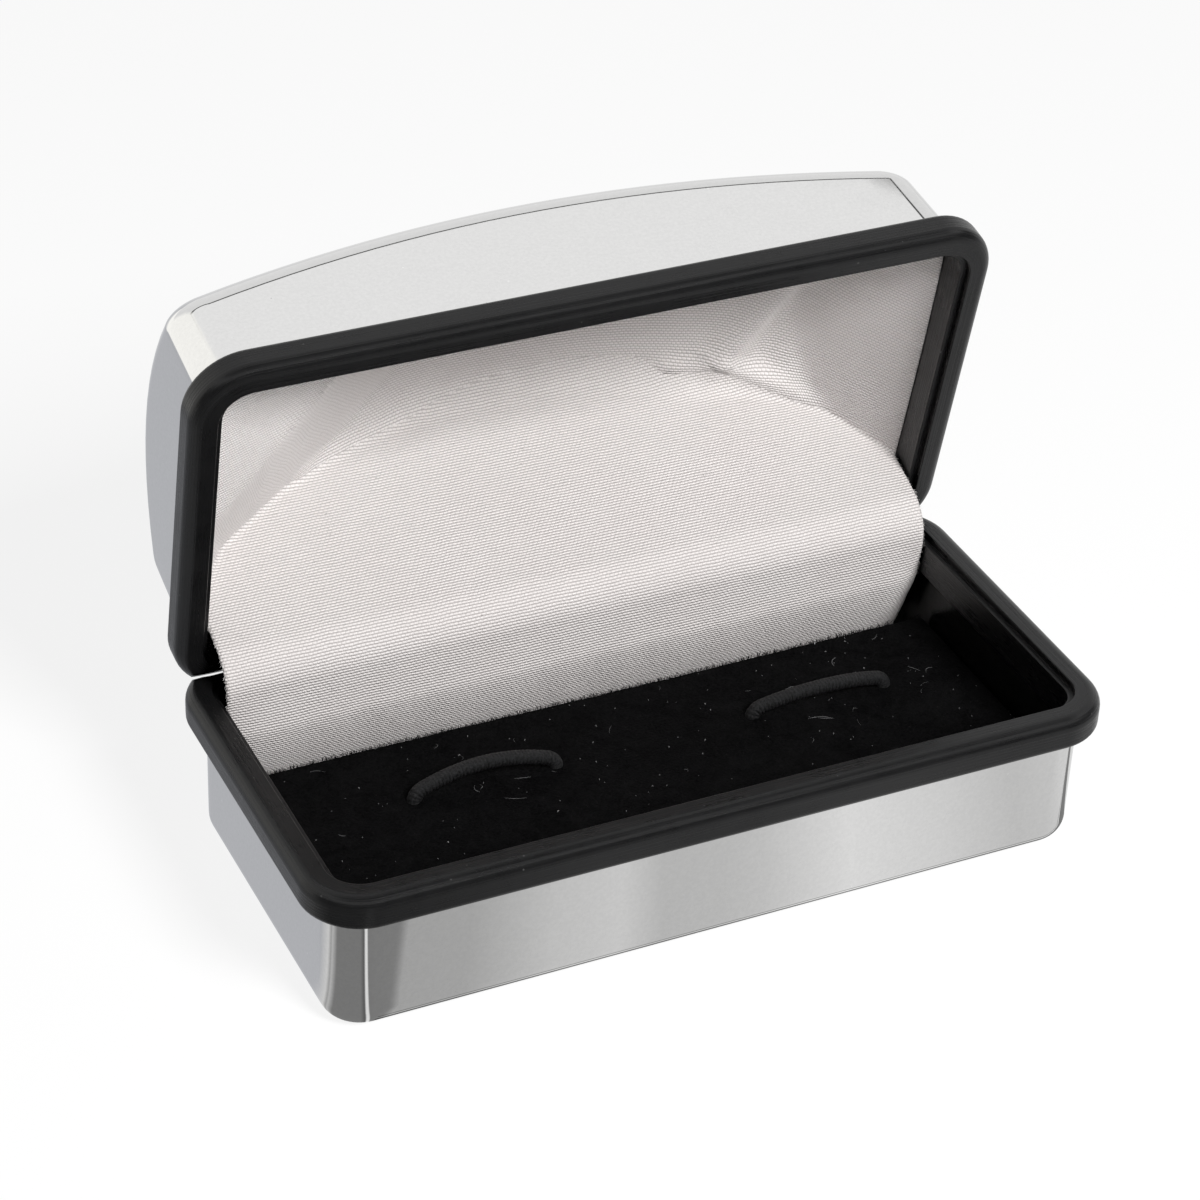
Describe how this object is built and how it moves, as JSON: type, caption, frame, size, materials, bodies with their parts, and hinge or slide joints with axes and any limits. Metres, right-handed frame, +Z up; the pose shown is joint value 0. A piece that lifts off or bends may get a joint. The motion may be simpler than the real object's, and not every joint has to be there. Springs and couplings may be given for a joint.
{
  "type": "cufflink display box",
  "caption": "Small hinged metal gift box with a pillow-domed lid standing open, black rim frames, a satin lining and a velvet pad with elastic loops.",
  "frame": {"origin": "centre of the flat underside of the base tray", "axes": "+X along the length, -Y out of the front, +Z up; the hinge runs along X at the rear"},
  "size_m": [0.093, 0.0665, 0.062],
  "materials": {
    "base_steel": "bright polished plate",
    "lid_steel": "bright polished plate",
    "rim_black": "semi-gloss black moulding",
    "card": "grey board, matt",
    "foam": "open-cell foam sheet",
    "velvet": "flocked velvet, deep matt black",
    "elastic": "round braided elastic",
    "crimp": "plain",
    "hinge_steel": "plated strip",
    "spring_steel": "blued spring strip",
    "wadding": "polyester wadding",
    "satin": "pale silver satin with a soft sheen"
  },
  "bodies": {
    "base": {"base_shell": "base_steel", "base_frame": "rim_black", "pad_riser": "card", "pad_board": "card", "pad_foam": "foam", "pad_velvet": "velvet", "loop_left": "elastic", "loop_right": "elastic", "loop_crimps": "crimp", "hinge_base_leaf": "hinge_steel", "hinge_pin": "hinge_steel", "hinge_spring": "spring_steel", "hinge_base_rivets": "hinge_steel", "hinge_curtain": "satin"},
    "lid": {"lid_shell": "lid_steel", "lid_frame": "rim_black", "lid_wadding": "wadding", "lid_lining": "satin", "hinge_lid_leaf": "hinge_steel", "hinge_lid_rivets": "hinge_steel"}
  },
  "joints": [
    {"name": "lid_hinge", "type": "hinge", "parent": "base", "child": "lid", "pos_m": [0, 0.01975, 0.01915], "axis": [1, 0, 0], "range_deg": [0, 78.5], "deforming": ["hinge_curtain", "hinge_spring"]}
  ]
}
